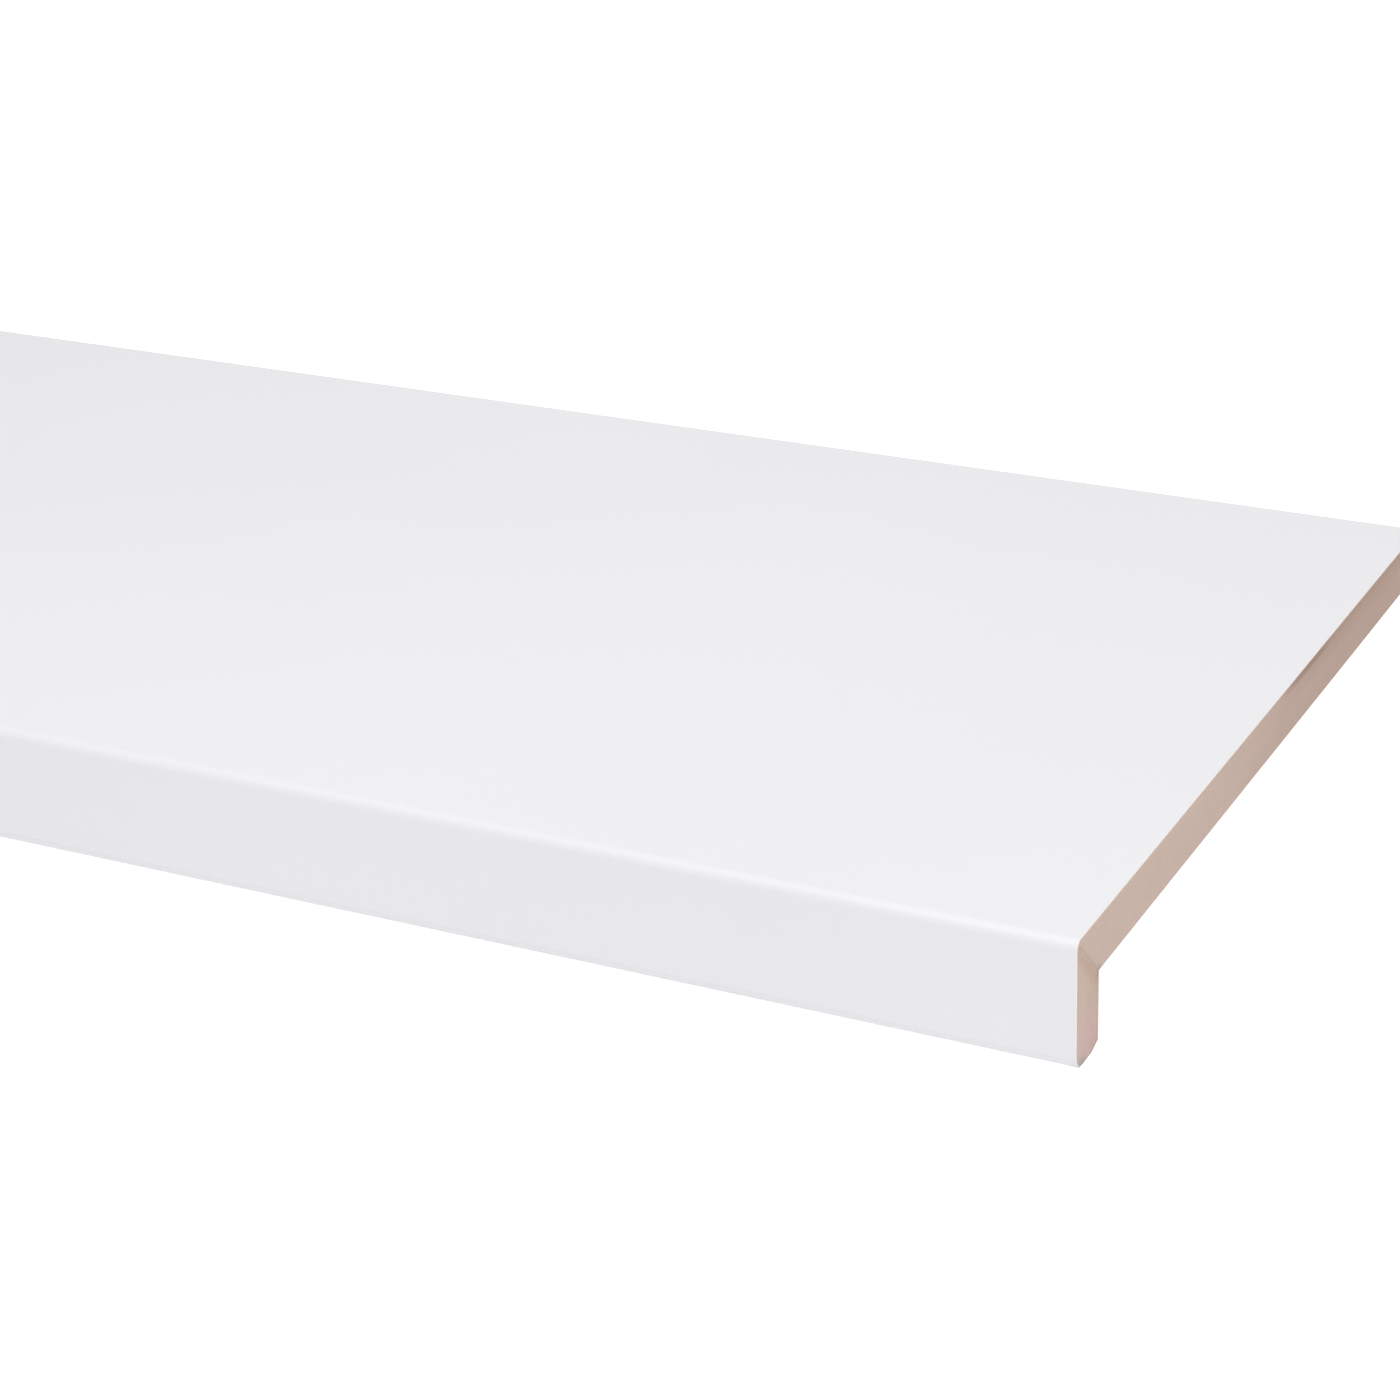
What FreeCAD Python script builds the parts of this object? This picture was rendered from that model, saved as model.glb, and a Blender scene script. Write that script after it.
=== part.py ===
"""Window sill board: a flat board with a mitred drop apron along its front and one white facing.

Axes: X along the board, Y from the apron (-Y) to the back edge (+Y), Z up. Sizes in mm.
The origin is on the floor, below the middle of the board.
"""
import FreeCAD
import Part
import Sketcher
import os

os.makedirs("parts", exist_ok=True)
doc = FreeCAD.newDocument("window_sill_board")

# Driving sizes. Thicknesses are over the facing, and both outer radii are measured on it.
drawn = {
    "board_length": 1000.0,
    "board_depth": 300.0,
    "board_thickness": 16.0,
    "apron_height": 38.0,
    "apron_thickness": 16.0,
    "facing_thickness": 0.5,
    "nose_radius": 3.0,
    "lip_radius": 4.0,
    "heel_bevel": 5.0,
    "heel_rise": 1.5,
}
sizes = doc.addObject("Spreadsheet::Sheet", "Sizes")
for row, (alias, value) in enumerate(drawn.items(), start=1):
    sizes.set(f"A{row}", alias)
    sizes.set(f"B{row}", str(value))
    sizes.setAlias(f"B{row}", alias)
doc.recompute()

# Levels and lines of the section as first drawn; the bound dimensions below then hold them.
front = -drawn["board_depth"] / 2
back = drawn["board_depth"] / 2
top = drawn["apron_height"]
facing = drawn["facing_thickness"]
nose = drawn["nose_radius"]
lip = drawn["lip_radius"]
bevel = drawn["heel_bevel"]
rise = drawn["heel_rise"]
underside = top - drawn["board_thickness"]
apron_back = front + drawn["apron_thickness"]
START, END, CENTRE = 1, 2, 3
ORIGIN = (-1, 1)
FLOOR = -1


def line(y0, z0, y1, z1):
    """Straight side of a section."""
    return Part.LineSegment(FreeCAD.Vector(y0, z0, 0), FreeCAD.Vector(y1, z1, 0))


def arc(y, z, radius, first_deg, last_deg):
    """Rounded corner of a section, drawn anticlockwise about its centre."""
    circle = Part.Circle(FreeCAD.Vector(y, z, 0), FreeCAD.Vector(0, 0, 1), radius)
    turn = FreeCAD.Units.Quantity("1 deg").getValueAs("rad").Value
    return Part.ArcOfCircle(circle, first_deg * turn, last_deg * turn)


def section(label, sides, sharp):
    """Start a body with a closed section; neighbours run on smoothly except at the sharp corners."""
    body = doc.addObject("PartDesign::Body", label)
    sketch = body.newObject("Sketcher::SketchObject", label + "_section")
    plane = next(f for f in body.Origin.OriginFeatures if f.Role == "YZ_Plane")
    sketch.AttachmentSupport = (plane, "")
    sketch.MapMode = "FlatFace"
    sketch.addGeometry(sides, False)
    for side in range(len(sides)):
        following = (side + 1) % len(sides)
        ends = [(a, b) for a in (START, END) for b in (START, END)]
        a, b = min(ends, key=lambda e: sketch.getPoint(side, e[0]).distanceToPoint(
            sketch.getPoint(following, e[1])))
        kind = "Coincident" if side in sharp else "Tangent"
        sketch.addConstraint(Sketcher.Constraint(kind, side, a, following, b))
    return body, sketch


def hold(sketch, kind, *where):
    """Add a constraint that has no size."""
    sketch.addConstraint(Sketcher.Constraint(kind, *where))


def drive(sketch, name, formula, kind, *where):
    """Add a dimension at its drawn value and bind it to the sheet."""
    if kind == "Radius":
        value = sketch.Geometry[where[0]].Radius
    else:
        step = sketch.getPoint(where[2], where[3]) - sketch.getPoint(where[0], where[1])
        value = step.x if kind == "DistanceX" else step.y
    index = sketch.addConstraint(Sketcher.Constraint(kind, *where, value))
    sketch.renameConstraint(index, name)
    sketch.setExpression("Constraints." + name, formula)


def run_out(body, sketch):
    """Run the section along the board, half to each side of its middle."""
    pad = body.newObject("PartDesign::Pad", body.Label + "_length")
    pad.Profile = sketch
    pad.SideType = "Symmetric"
    pad.setExpression("Length", "Sizes.board_length")
    sketch.Visibility = False
    return body


# Flat board: bare fibreboard core with a square back edge. Its front is cut on the mitre,
# from the inner corner under the board to the middle of the rounded nose.
core = nose - facing
tip = core * 0.5 ** 0.5
board, sketch = section("sill_board", [
    line(apron_back, underside, back, underside),
    line(back, underside, back, top - facing),
    line(back, top - facing, front + nose, top - facing),
    arc(front + nose, top - nose, core, 90, 135),
    line(front + nose - tip, top - nose + tip, apron_back, underside),
], sharp=(0, 1, 3, 4))
hold(sketch, "Horizontal", 0)
hold(sketch, "Vertical", 1)
hold(sketch, "Horizontal", 2)
hold(sketch, "PointOnObject", 3, CENTRE, 4)
drive(sketch, "back_reach", "Sizes.board_depth / 2", "DistanceX", *ORIGIN, 1, START)
drive(sketch, "apron_reach", "Sizes.board_depth / 2 - Sizes.apron_thickness", "DistanceX", 0, START, *ORIGIN)
drive(sketch, "nose_reach", "Sizes.board_depth / 2 - Sizes.nose_radius", "DistanceX", 3, CENTRE, *ORIGIN)
drive(sketch, "bed_level", "Sizes.apron_height - Sizes.board_thickness", "DistanceY", *ORIGIN, 0, END)
drive(sketch, "core_top", "Sizes.apron_height - Sizes.facing_thickness", "DistanceY", *ORIGIN, 2, START)
drive(sketch, "core_nose", "Sizes.nose_radius - Sizes.facing_thickness", "Radius", 3)
run_out(board, sketch)

# Drop apron: a strip of the same fibreboard, glued to the board on the mitre. The lower front edge is
# rounded and stepped for the facing that laps it, and the lower back edge has a long flat bevel.
apron, sketch = section("front_apron", [
    line(apron_back, underside, front + nose - tip, top - nose + tip),
    arc(front + nose, top - nose, core, 135, 180),
    line(front + facing, top - nose, front + facing, lip),
    arc(front + lip, lip, lip - facing, 180, 270),
    line(front + lip, facing, front + lip, 0),
    line(front + lip, 0, apron_back - bevel, 0),
    line(apron_back - bevel, 0, apron_back, rise),
    line(apron_back, rise, apron_back, underside),
], sharp=(0, 3, 4, 5, 6, 7))
hold(sketch, "PointOnObject", 1, CENTRE, 0)
hold(sketch, "Vertical", 2)
hold(sketch, "Vertical", 4)
hold(sketch, "PointOnObject", 3, CENTRE, 4)
hold(sketch, "Horizontal", 5)
hold(sketch, "PointOnObject", 5, START, FLOOR)
hold(sketch, "Vertical", 7)
drive(sketch, "nose_reach", "Sizes.board_depth / 2 - Sizes.nose_radius", "DistanceX", 1, CENTRE, *ORIGIN)
drive(sketch, "nose_level", "Sizes.apron_height - Sizes.nose_radius", "DistanceY", *ORIGIN, 1, CENTRE)
drive(sketch, "core_nose", "Sizes.nose_radius - Sizes.facing_thickness", "Radius", 1)
drive(sketch, "lip_level", "Sizes.lip_radius", "DistanceY", *ORIGIN, 3, CENTRE)
drive(sketch, "core_lip", "Sizes.lip_radius - Sizes.facing_thickness", "Radius", 3)
drive(sketch, "heel_bevel", "Sizes.heel_bevel", "DistanceX", 6, START, 6, END)
drive(sketch, "heel_rise", "Sizes.heel_rise", "DistanceY", 6, START, 6, END)
drive(sketch, "apron_reach", "Sizes.board_depth / 2 - Sizes.apron_thickness", "DistanceX", 7, END, *ORIGIN)
drive(sketch, "bed_level", "Sizes.apron_height - Sizes.board_thickness", "DistanceY", *ORIGIN, 7, END)
run_out(apron, sketch)

# White facing: one sheet from the back edge over the top, round the nose, down the front and
# round the lower front edge, trimmed flush where the flat bottom of the apron begins.
skin, sketch = section("white_facing", [
    line(back, top, front + nose, top),
    arc(front + nose, top - nose, nose, 90, 180),
    line(front, top - nose, front, lip),
    arc(front + lip, lip, lip, 180, 270),
    line(front + lip, 0, front + lip, facing),
    arc(front + lip, lip, lip - facing, 180, 270),
    line(front + facing, lip, front + facing, top - nose),
    arc(front + nose, top - nose, core, 90, 180),
    line(front + nose, top - facing, back, top - facing),
    line(back, top - facing, back, top),
], sharp=(3, 4, 8, 9))
hold(sketch, "Horizontal", 0)
hold(sketch, "Vertical", 2)
hold(sketch, "Vertical", 4)
hold(sketch, "Vertical", 6)
hold(sketch, "Horizontal", 8)
hold(sketch, "Vertical", 9)
hold(sketch, "Coincident", 1, CENTRE, 7, CENTRE)
hold(sketch, "Coincident", 3, CENTRE, 5, CENTRE)
hold(sketch, "PointOnObject", 3, CENTRE, 4)
hold(sketch, "PointOnObject", 4, START, FLOOR)
drive(sketch, "back_reach", "Sizes.board_depth / 2", "DistanceX", *ORIGIN, 0, START)
drive(sketch, "front_reach", "Sizes.board_depth / 2", "DistanceX", 2, START, *ORIGIN)
drive(sketch, "top_level", "Sizes.apron_height", "DistanceY", *ORIGIN, 0, START)
drive(sketch, "thickness", "Sizes.facing_thickness", "DistanceY", 9, START, 9, END)
drive(sketch, "nose", "Sizes.nose_radius", "Radius", 1)
drive(sketch, "lip", "Sizes.lip_radius", "Radius", 3)
run_out(skin, sketch)

doc.recompute()
for thing in doc.Objects:
    if {"Invalid", "Error"} & set(thing.State):
        raise RuntimeError(f"{thing.Label} did not rebuild")
for body in (board, apron, skin):
    if body.Shape.isNull() or not body.Shape.isValid():
        raise RuntimeError(f"{body.Label} has no valid solid")
    body.Shape.exportStep(f"parts/{body.Label}.step")
    box = body.Shape.BoundBox
    print(f"{body.Label}: {box.XLength:.2f} x {box.YLength:.2f} x {box.ZLength:.2f} mm,"
          f" z from {box.ZMin:.2f}, {body.Shape.Volume / 1e6:.4f} l, {len(body.Shape.Solids)} solid")
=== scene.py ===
"""White-faced window sill board: a fibreboard shelf with a mitred apron, wrapped in one white film."""

import math

import bpy
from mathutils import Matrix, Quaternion, Vector


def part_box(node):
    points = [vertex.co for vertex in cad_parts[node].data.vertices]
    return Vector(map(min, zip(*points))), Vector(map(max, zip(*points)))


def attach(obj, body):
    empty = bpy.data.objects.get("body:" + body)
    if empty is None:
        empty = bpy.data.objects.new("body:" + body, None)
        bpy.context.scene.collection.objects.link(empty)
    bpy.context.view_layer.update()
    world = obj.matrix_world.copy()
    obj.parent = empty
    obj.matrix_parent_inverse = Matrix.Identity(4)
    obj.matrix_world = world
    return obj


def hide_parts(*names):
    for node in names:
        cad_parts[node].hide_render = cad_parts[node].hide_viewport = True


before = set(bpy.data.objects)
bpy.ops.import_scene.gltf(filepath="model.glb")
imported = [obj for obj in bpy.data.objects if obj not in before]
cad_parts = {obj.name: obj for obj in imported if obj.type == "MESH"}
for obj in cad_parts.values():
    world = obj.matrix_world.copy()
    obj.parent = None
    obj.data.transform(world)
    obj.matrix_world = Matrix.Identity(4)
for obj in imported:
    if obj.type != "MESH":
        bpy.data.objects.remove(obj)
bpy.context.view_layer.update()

# Sill board.
# The flat shelf that lies on the wall: one length of medium density fibreboard, sawn square at both ends
# and along the back. Its front edge is cut to a mitre and rounded over, and the film is glued round it.
MM = 0.001
board_low, board_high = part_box("sill_board")
apron_low, apron_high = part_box("front_apron")
film_low, film_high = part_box("white_facing")

length = board_high.x - board_low.x
back = board_high.y
underside = board_low.z
core_top = board_high.z
apron_back = apron_high.y
film = film_high.z - core_top
nose_radius = 3 * MM
core_nose = nose_radius - film
nose_centre = Vector((film_low.y + nose_radius, film_high.z - nose_radius))
arc_steps = 24


def arc(centre, radius, start, end):
    """Points (y, z) round a centre, from one angle to another in degrees, 0 towards +y and 90 up."""
    turn = (end - start) / arc_steps
    angles = [math.radians(start + turn * step) for step in range(arc_steps + 1)]
    return [centre + radius * Vector((math.cos(angle), math.sin(angle))) for angle in angles]


class Wire:
    """A socket of a node tree. Arithmetic on wires adds Math nodes, and add() makes any other node."""

    def __init__(self, tree, socket=None):
        self.tree = tree
        self.socket = socket

    def add(self, kind, settings=None, inputs=None, out=0):
        """Adds a node with its settings and the values or wires of its inputs, and gives one output."""
        node = self.tree.nodes.new(kind)
        for name, value in (settings or {}).items():
            setattr(node, name, value)
        for name, value in (inputs or {}).items():
            for item in value if isinstance(value, list) else [value]:
                if isinstance(item, Wire):
                    item.feed(node.inputs[name])
                else:
                    node.inputs[name].default_value = item
        return Wire(self.tree, node.outputs[out])

    def feed(self, socket):
        """Links this wire to the input of a node."""
        self.tree.links.new(self.socket, socket)

    def maths(self, operation, *values):
        return self.add("ShaderNodeMath", {"operation": operation}, dict(enumerate(values)))

    def __add__(self, other):
        return self.maths("ADD", self, other)

    def __sub__(self, other):
        return self.maths("SUBTRACT", self, other)

    def __rsub__(self, other):
        return self.maths("SUBTRACT", other, self)

    def __mul__(self, other):
        return self.maths("MULTIPLY", self, other)

    __radd__ = __add__
    __rmul__ = __mul__

    def between(self, low, high):
        """0 below low and 1 above high, smooth in between. With low above high it falls instead."""
        settings = {"interpolation_type": "SMOOTHSTEP"}
        return self.add("ShaderNodeMapRange", settings, {"Value": self, "From Min": low, "From Max": high})

    def size(self):
        return self.maths("ABSOLUTE", self)

    def root(self):
        return self.maths("SQRT", self)

    def larger(self, other):
        return self.maths("MAXIMUM", self, other)


def new_finish(name):
    """A new material, with its shader and the start of its wires."""
    material = bpy.data.materials.new(name)
    material.use_nodes = True
    return material, material.node_tree.nodes["Principled BSDF"], Wire(material.node_tree)


def parts(vector, axes):
    """The parts of a vector along the named axes."""
    return [vector.add("ShaderNodeSeparateXYZ", inputs={"Vector": vector}, out=axis) for axis in axes]


def pointing(part):
    """1 on the faces that point along an axis, from that part of their normal."""
    return part.between(0.5, 0.8)


def noise(place, cells, turn=(0, 0, 0), detail=2.0, roughness=0.5):
    """A noise pattern with so many cells to the metre along x, y and z, turned about the axes."""
    mapping = {"Vector": place, "Rotation": turn, "Scale": cells}
    texture = {
        "Vector": place.add("ShaderNodeMapping", inputs=mapping),
        "Scale": 1.0,
        "Detail": detail,
        "Roughness": roughness,
    }
    return place.add("ShaderNodeTexNoise", inputs=texture, out="Fac")


mix_amount, mix_first, mix_second, mix_colour = 0, 6, 7, 2


def blend(wire, amount, first, second, kind="MIX"):
    """Mixes two colours, each a wire or a written colour, by a wire or a number."""
    written = [colour if isinstance(colour, Wire) else (*colour, 1) for colour in (first, second)]
    settings = {"data_type": "RGBA", "blend_type": kind}
    inputs = {mix_amount: amount, mix_first: written[0], mix_second: written[1]}
    return wire.add("ShaderNodeMix", settings, inputs, mix_colour)


def tint(colour, amount, shade):
    """Multiplies a colour by a shade, as far as the amount says."""
    return blend(colour, amount, colour, blend(colour, 1.0, colour, shade, "MULTIPLY"))


def dress(shader, colour, roughness, height, strength, depth):
    """Feeds a shader with its colour and roughness, and with a relief of so much depth."""
    bump = {"Height": height, "Strength": strength, "Distance": depth}
    colour.feed(shader.inputs["Base Color"])
    roughness.feed(shader.inputs["Roughness"])
    height.add("ShaderNodeBump", inputs=bump).feed(shader.inputs["Normal"])


# Each run (along the depth), rise (in height) and reach (off a line or a corner) is where a mark begins and
# where it is full. Off the mitre, along which y + z stays the same, the apron's side counts as below zero.
MITRE_BAND = (0.920, 0.885, 0.845)
# This dark colour serves both the glue line along the mitre and painted shade in the gap at the mitre's
# inner corner.
GLUE_AND_GAP_SHADE = (0.300, 0.235, 0.200)
mitre_sum = apron_back + underside
square_off = math.sqrt(0.5)
apron_band_reach = (-5.6 * MM, -2.2 * MM)
board_band_reach = (1.8 * MM, -1.4 * MM)
glue_line_reach = (0.30 * MM, 0.10 * MM)
glue_line_share = 0.08
gap_shade_reach = (2.6 * MM, 0.4 * MM)
gap_shade_share = 0.45


def glued_mitre(colour, place):
    """A sawn end with its joint: a soft darker band on the apron's side, a fine glue line, painted shade at
    the inner corner.
    """
    y, z = parts(place, "YZ")
    off_mitre = (y + z - mitre_sum) * square_off
    # A soft darker band on the apron's side of the mitre.
    band = off_mitre.between(*apron_band_reach) * off_mitre.between(*board_band_reach)
    colour = tint(colour, band, MITRE_BAND)
    corner_y, corner_z = y - apron_back, z - underside
    from_corner = (corner_y * corner_y + corner_z * corner_z).root()
    glue_line = off_mitre.size().between(*glue_line_reach) * glue_line_share
    # Painted shade: a dark spot where the mitre's gap ends at the inner corner.
    gap_shade = from_corner.between(*gap_shade_reach) * gap_shade_share
    return blend(colour, glue_line.larger(gap_shade), colour, GLUE_AND_GAP_SHADE)


FIBRE_PALE = (0.655, 0.520, 0.452)
FIBRE_MEAN = (0.575, 0.448, 0.388)
FIBRE_DARK = (0.430, 0.318, 0.265)
BARK = (0.270, 0.185, 0.145)
FIBRE_SPECULAR = 0.25
fibre_depth = 0.05 * MM
back_edge_run = (back - 2 * MM, back - 1 * MM)
strand_angles = (12, 71, 134)
strand_cells = (330, 2600, 2600)
saw_cells = (1100, 1100, 45)
sand_cells = (9, 1500, 1500)


def fibreboard(name, across, end_marks):
    """Raw fibreboard. Its fibres lie flat in the panel, so they are thin across it, along the named axis."""
    material, shader, start = new_finish(name)
    place = start.add("ShaderNodeTexCoord", out="Object")
    y, = parts(place, "Y")
    sideways, backwards = parts(start.add("ShaderNodeTexCoord", out="Normal"), "XY")
    right_end = pointing(sideways)
    sawn_end = pointing(sideways.size())
    sawn_back = pointing(backwards) * y.between(*back_edge_run)
    sawn = sawn_end.larger(sawn_back)
    sanded = 1 - sawn

    def laid(in_panel, through):
        return tuple(through if axis == across else in_panel for axis in "XYZ")

    def turned(angle):
        return tuple(math.radians(angle) if axis == across else 0 for axis in "XYZ")

    strand = None
    for angle in strand_angles:
        lay = noise(place, strand_cells, turned(angle), detail=1.5).between(0.57, 0.70)
        strand = lay if strand is None else strand.larger(lay)
    fleck = noise(place, laid(in_panel=1700, through=3200), detail=3.0, roughness=0.6)
    cloud = noise(place, laid(in_panel=22, through=70), detail=3.0)
    mottle = noise(place, laid(in_panel=13, through=60), detail=4.0, roughness=0.6)
    bark = noise(place, laid(in_panel=300, through=2400), detail=2.0, roughness=0.6)
    saw_line = noise(place, saw_cells, detail=2.0)
    sand_line = noise(place, sand_cells, detail=1.5)

    colour = blend(start, fleck.between(0.26, 0.52), FIBRE_DARK, FIBRE_MEAN)
    marks = (
        (fleck.between(0.54, 0.76), 0.60, FIBRE_PALE),
        (strand, 0.28, FIBRE_PALE),
        (cloud.between(0.35, 0.75), 0.10, FIBRE_DARK),
        (sawn * saw_line.between(0.40, 0.75), 0.10, FIBRE_DARK),
        (sanded * sand_line.between(0.45, 0.75), 0.14, FIBRE_DARK),
        (sanded * mottle.between(0.38, 0.66), 0.22, FIBRE_DARK),
        (sanded * bark.between(0.67, 0.75), 0.45, BARK),
    )
    for where, share, shade in marks:
        colour = blend(start, where * share, colour, shade)
    colour = blend(start, right_end, colour, end_marks(colour, place))
    colour = blend(start, sawn_end, colour, glued_mitre(colour, place))

    roughness = 0.84 + fleck * 0.12
    height = fleck * 0.5 + strand * 0.2 + sawn * saw_line * 0.5 + sanded * sand_line * 0.3
    dress(shader, colour, roughness, height, strength=0.4, depth=fibre_depth)
    shader.inputs["Specular IOR Level"].default_value = FIBRE_SPECULAR
    return material


weld = 0.001 * MM


def stock_run():
    """Tree that pushes a flat section along the board, closes both ends and gives it its finish."""
    tree = bpy.data.node_groups.new("stock_run", "GeometryNodeTree")
    sockets = (
        ("Section", "INPUT", "NodeSocketGeometry"),
        ("Length", "INPUT", "NodeSocketFloat"),
        ("Finish", "INPUT", "NodeSocketMaterial"),
        ("Stock", "OUTPUT", "NodeSocketGeometry"),
    )
    for name, way, kind in sockets:
        tree.interface.new_socket(name, in_out=way, socket_type=kind)
    start = Wire(tree)
    section, run, finish = (Wire(tree, socket) for socket in tree.nodes.new("NodeGroupInput").outputs[:3])
    left_end = start.add("ShaderNodeCombineXYZ", inputs={"X": run * -0.5})
    left_face = start.add("GeometryNodeSetPosition", inputs={"Geometry": section, "Offset": left_end})
    whole_run = start.add("ShaderNodeCombineXYZ", inputs={"X": run})
    push = {"Mesh": left_face, "Offset": whole_run, "Offset Scale": 1.0, "Individual": False}
    body = start.add("GeometryNodeExtrudeMesh", {"mode": "FACES"}, push)
    cap = start.add("GeometryNodeFlipFaces", inputs={"Mesh": left_face})
    whole = start.add("GeometryNodeJoinGeometry", inputs={"Geometry": [body, cap]})
    shut = start.add("GeometryNodeMergeByDistance", inputs={"Geometry": whole, "Distance": weld})
    smooth = start.add("GeometryNodeSetShadeSmooth", inputs={"Geometry": shut, "Shade Smooth": True})
    real = start.add("GeometryNodeRealizeInstances", inputs={"Geometry": smooth})
    done = start.add("GeometryNodeSetMaterial", inputs={"Geometry": real, "Material": finish})
    done.feed(tree.nodes.new("NodeGroupOutput").inputs["Stock"])
    return tree


run_tree = stock_run()
worn_arris = 0.06 * MM
arris_segments = 2
sharp_corner = math.radians(40)


def make_stock(name, outline, finish):
    """A piece with this outline (y, z) over the whole length, its sawn and cut arrises a little worn."""
    mesh = bpy.data.meshes.new(name + "_section")
    mesh.from_pydata([(0, *point) for point in outline], [], [range(len(outline))])
    piece = bpy.data.objects.new(name, mesh)
    bpy.context.scene.collection.objects.link(piece)
    run = piece.modifiers.new("run", "NODES")
    run.node_group = run_tree
    named = {item.name: item.identifier for item in run_tree.interface.items_tree}
    run[named["Length"]] = length
    run[named["Finish"]] = finish
    worn = piece.modifiers.new("worn", "BEVEL")
    worn.width = worn_arris
    worn.segments = arris_segments
    worn.limit_method = "ANGLE"
    worn.angle_limit = sharp_corner
    worn.use_clamp_overlap = False
    even = piece.modifiers.new("even", "WEIGHTED_NORMAL")
    even.keep_sharp = True
    solid = bpy.data.meshes.new_from_object(piece.evaluated_get(bpy.context.evaluated_depsgraph_get()))
    piece.modifiers.clear()
    piece.data = solid
    return piece


SCORCHED = (0.835, 0.795, 0.785)
SMOKED = (0.955, 0.925, 0.900)
TORN = (0.738, 0.702, 0.688)
scorch_run = (back - 225 * MM, back - 70 * MM)
smoke_run = (back - 140 * MM, back - 105 * MM)
smoke_rise = (underside + 7 * MM, underside + 12 * MM)
tear_run = (back - 142 * MM, back - 118 * MM)
tear_fade_run = (back - 106 * MM, back - 86 * MM)
tear_fade_share = 0.75
tear_rise = (core_top - 2.6 * MM, core_top - 1.0 * MM)
ragged_cells = (60, 60, 400)
ragged_height = 0.8 * MM


def scorched_end(colour, place):
    """The board's right end: browner to the back, where the saw burnt it, with a tear under the film."""
    y, z = parts(place, "YZ")
    colour = tint(colour, y.between(*scorch_run), SCORCHED)
    colour = tint(colour, z.between(*smoke_rise) * y.between(*smoke_run), SMOKED)
    ragged = noise(place, ragged_cells, detail=3.0) * ragged_height
    under_film = (z + ragged).between(*tear_rise)
    tear = y.between(*tear_run) * (1 - tear_fade_share * y.between(*tear_fade_run))
    return tint(colour, under_film * tear, TORN)


board_outline = [
    Vector((apron_back, underside)),
    Vector((back, underside)),
    Vector((back, core_top)),
    *arc(nose_centre, core_nose, 90, 135),
]
board_finish = fibreboard("fibreboard_flat", "Z", scorched_end)
board = make_stock("sill_board_core", board_outline, board_finish)
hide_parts("sill_board")
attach(board, "root")

# Front apron.
# The strip that hangs down along the front: the same fibreboard set on edge, mitred to the board and glued.
# Its foot is rounded at the front, where the film turns under, and planed to a long bevel at the back.
lip_radius = 4 * MM
core_lip = lip_radius - film
heel_bevel = 5 * MM
heel_rise = 1.5 * MM
foot = apron_low.z
lip_centre = Vector((film_low.y + lip_radius, foot + lip_radius))

HEEL_SIDE = (0.955, 0.930, 0.905)
ROSY = (1.045, 1.010, 1.085)
# Painted shade: a dark grey at the lower front corner and at the foot of the film's cut ends, where shade
# falls.
TIP_SHADE = (0.375, 0.380, 0.380)
heel_run = (apron_back - 12 * MM, apron_back - 2 * MM)
rosy_rise = (foot + 18 * MM, foot + 7 * MM)
shaded_tip = Vector((film_high.x, lip_centre.x, foot))
tip_shade_reach = (4.5 * MM, 0.5 * MM)
tip_shade_share = 0.8


def off_corner(place):
    """How far a place is from the lower front corner at the right end, where shade is painted."""
    ends = {0: place, 1: shaded_tip}
    return place.add("ShaderNodeVectorMath", {"operation": "DISTANCE"}, ends, "Value")


def apron_end_marks(colour, place):
    """The apron's right end: darker to the back, rosier below, with painted shade at its lower front corner.
    """
    y, z = parts(place, "YZ")
    colour = tint(colour, y.between(*heel_run), HEEL_SIDE)
    colour = tint(colour, z.between(*rosy_rise), ROSY)
    # Painted shade at the lower front corner of the apron's end.
    return blend(colour, off_corner(place).between(*tip_shade_reach) * tip_shade_share, colour, TIP_SHADE)


apron_outline = [
    Vector((apron_back, underside)),
    *arc(nose_centre, core_nose, 135, 180),
    *arc(lip_centre, core_lip, 180, 270),
    Vector((lip_centre.x, foot)),
    Vector((apron_back - heel_bevel, foot)),
    Vector((apron_back, foot + heel_rise)),
]
apron_finish = fibreboard("fibreboard_upright", "Y", apron_end_marks)
apron = make_stock("front_apron_core", apron_outline, apron_finish)
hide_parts("front_apron")
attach(apron, "root")

# White facing.
# A half-millimetre white film in one sheet, glued over the top, round the nose, down the apron and under
# its foot, where it is trimmed flush. It is satin, with the faint peel of a pressed film.
FILM_WHITE = (0.867, 0.859, 0.882)
FILM_SHADE = (0.853, 0.845, 0.868)
SAWDUST = (0.600, 0.500, 0.440)
FILM_IOR = 1.45
peel_depth = 0.02 * MM
dust_rise = (core_top - 0.4 * MM, core_top)
dust_share = 0.5
film_tip_shade_reach = (5.0 * MM, 1.5 * MM)
film_tip_shade_share = 0.5
foot_shade_rise = (foot + 2.5 * MM, foot + 0.5 * MM)


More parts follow.
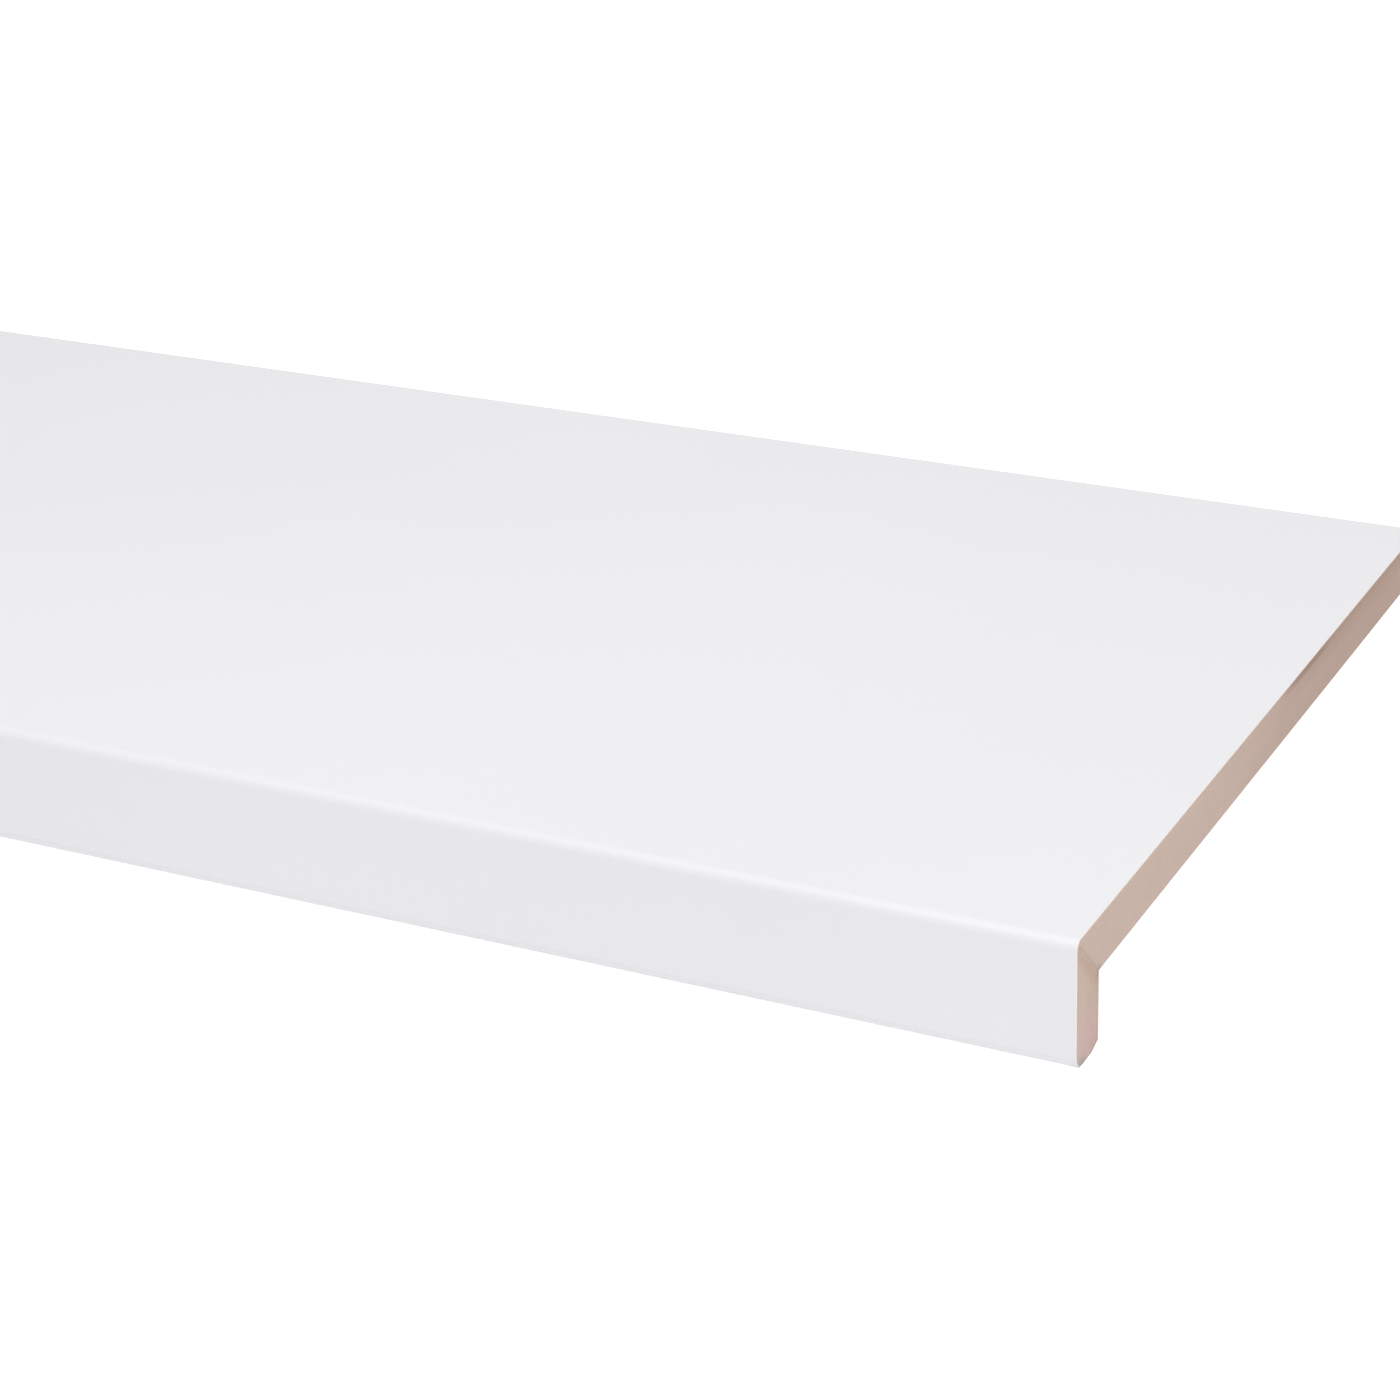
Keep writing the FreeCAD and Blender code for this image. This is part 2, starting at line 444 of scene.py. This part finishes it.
def white_film(name):
    """Satin white film, faintly cloudy, dusty at the top of its cut ends, with painted shade at their foot
    and at its lower corner.
    """
    material, shader, start = new_finish(name)
    place = start.add("ShaderNodeTexCoord", out="Object")
    z, = parts(place, "Z")
    sideways, = parts(start.add("ShaderNodeTexCoord", out="Normal"), "X")
    cut_end = pointing(sideways.size())

    def even(cells):
        return (cells, cells, cells)

    cloud = noise(place, even(5), detail=3.0)
    peel = noise(place, even(520), detail=2.0)
    fine = noise(place, even(2600), detail=1.0)

    dust = cut_end * z.between(*dust_rise) * dust_share
    # Painted shade at the lower corner and at the foot of the cut ends.
    shade_at_tip = off_corner(place).between(*film_tip_shade_reach) * film_tip_shade_share
    shade_at_foot = cut_end * z.between(*foot_shade_rise) * tip_shade_share
    colour = blend(start, cloud.between(0.3, 0.7), FILM_SHADE, FILM_WHITE)
    colour = blend(start, dust, colour, SAWDUST)
    colour = blend(start, shade_at_tip.larger(shade_at_foot), colour, TIP_SHADE)

    roughness = 0.36 + cloud * 0.06 + fine * 0.05
    dress(shader, colour, roughness, height=peel + fine * 0.3, strength=0.25, depth=peel_depth)
    shader.inputs["IOR"].default_value = FILM_IOR
    return material


film_outline = [
    Vector((back, core_top)),
    Vector((back, film_high.z)),
    *arc(nose_centre, nose_radius, 90, 180),
    *arc(lip_centre, lip_radius, 180, 270),
    *arc(lip_centre, core_lip, 270, 180),
    *arc(nose_centre, core_nose, 180, 90),
]
facing_sheet = make_stock("white_facing_sheet", film_outline, white_film("white_film"))
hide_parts("white_facing")
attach(facing_sheet, "root")

# Studio.
# A pale floor in a soft white surround, a large lamp above the front, one overhead and one to the right.
# The floor takes the shadow, glows a little, as a light table does, and is clear when it is seen from below.
WHITE = (1, 1, 1, 1)
PAPER = (0.8, 0.8, 0.8, 1)
PAPER_ROUGHNESS = 0.9
FLOOR_GLOW = 0.125
FLOOR_SEEN = 0.8
SURROUND_GLOW = 0.53
SURROUND_SEEN = 1.0
floor_reach = 12.0


def shown(start, given, seen):
    """A strength: given to what is lit, but seen by a ray from the camera, in a gloss or through glass."""
    ways = ("Is Camera Ray", "Is Glossy Ray", "Is Transmission Ray")
    direct, glossy, through = (start.add("ShaderNodeLightPath", out=way) for way in ways)
    return direct.larger(glossy.larger(through)) * (seen - given) + given


paper, paper_shader, paper_start = new_finish("floor_paper")
paper_shader.inputs["Base Color"].default_value = PAPER
paper_shader.inputs["Roughness"].default_value = PAPER_ROUGHNESS
bare = Wire(paper.node_tree, paper_shader.outputs["BSDF"])
floor_strength = shown(paper_start, FLOOR_GLOW, FLOOR_SEEN)
glow = paper_start.add("ShaderNodeEmission", inputs={"Color": WHITE, "Strength": floor_strength})
lit = paper_start.add("ShaderNodeAddShader", inputs={0: bare, 1: glow})
from_below = paper_start.add("ShaderNodeNewGeometry", out="Backfacing")
clear = paper_start.add("ShaderNodeBsdfTransparent")
top_only = paper_start.add("ShaderNodeMixShader", inputs={0: from_below, 1: lit, 2: clear})
top_only.feed(paper.node_tree.nodes["Material Output"].inputs["Surface"])

corners = [(x * floor_reach, y * floor_reach, 0) for x, y in ((-1, -1), (1, -1), (1, 1), (-1, 1))]
floor_mesh = bpy.data.meshes.new("floor")
floor_mesh.from_pydata(corners, [], [range(len(corners))])
floor_mesh.materials.append(paper)
floor = bpy.data.objects.new("floor", floor_mesh)
bpy.context.scene.collection.objects.link(floor)

world = bpy.data.worlds.new("surround")
world.use_nodes = True
bpy.context.scene.world = world
sky = world.node_tree.nodes["Background"]
sky.inputs["Color"].default_value = WHITE
shown(Wire(world.node_tree), SURROUND_GLOW, SURROUND_SEEN).feed(sky.inputs["Strength"])

lamps_aim = Vector((0.25, 0, 0.02))


def lamp(name, place, width, watts):
    """A round area lamp that looks at the board's right half."""
    data = bpy.data.lights.new(name, "AREA")
    data.shape = "DISK"
    data.size = width
    data.energy = watts
    light = bpy.data.objects.new(name, data)
    light.location = place
    light.rotation_mode = "QUATERNION"
    light.rotation_quaternion = (lamps_aim - Vector(place)).to_track_quat("-Z", "Y")
    bpy.context.scene.collection.objects.link(light)


lamp("softbox", place=(0.30, -0.80, 1.60), width=1.0, watts=9.8)
lamp("overhead", place=(0.35, 0.00, 1.30), width=0.8, watts=2.35)
lamp("right_fill", place=(1.70, -0.35, 0.25), width=0.8, watts=5.3)

# Camera.
# At the photograph's viewing angle: to the right of the front and above it, with a long lens.
# It is turned about the vertical, tipped down from level and rolled a little, in that order.
AZIMUTH = 27.6504
ELEVATION = 24.5704
ROLL = -2.2918
SENSOR = 36.0
LENS = 91.767
eye = Vector((0.785692, -0.894891, 0.471900))

camera_data = bpy.data.cameras.new("camera")
camera_data.sensor_width = SENSOR
camera_data.lens = LENS
camera = bpy.data.objects.new("camera", camera_data)
camera.location = eye
camera.rotation_mode = "QUATERNION"
turns = (((0, 0, 1), AZIMUTH), ((1, 0, 0), 90 - ELEVATION), ((0, 0, 1), ROLL))
for axis, angle in turns:
    camera.rotation_quaternion = camera.rotation_quaternion @ Quaternion(axis, math.radians(angle))
bpy.context.scene.collection.objects.link(camera)
bpy.context.scene.camera = camera
bpy.context.scene.view_settings.view_transform = "Standard"
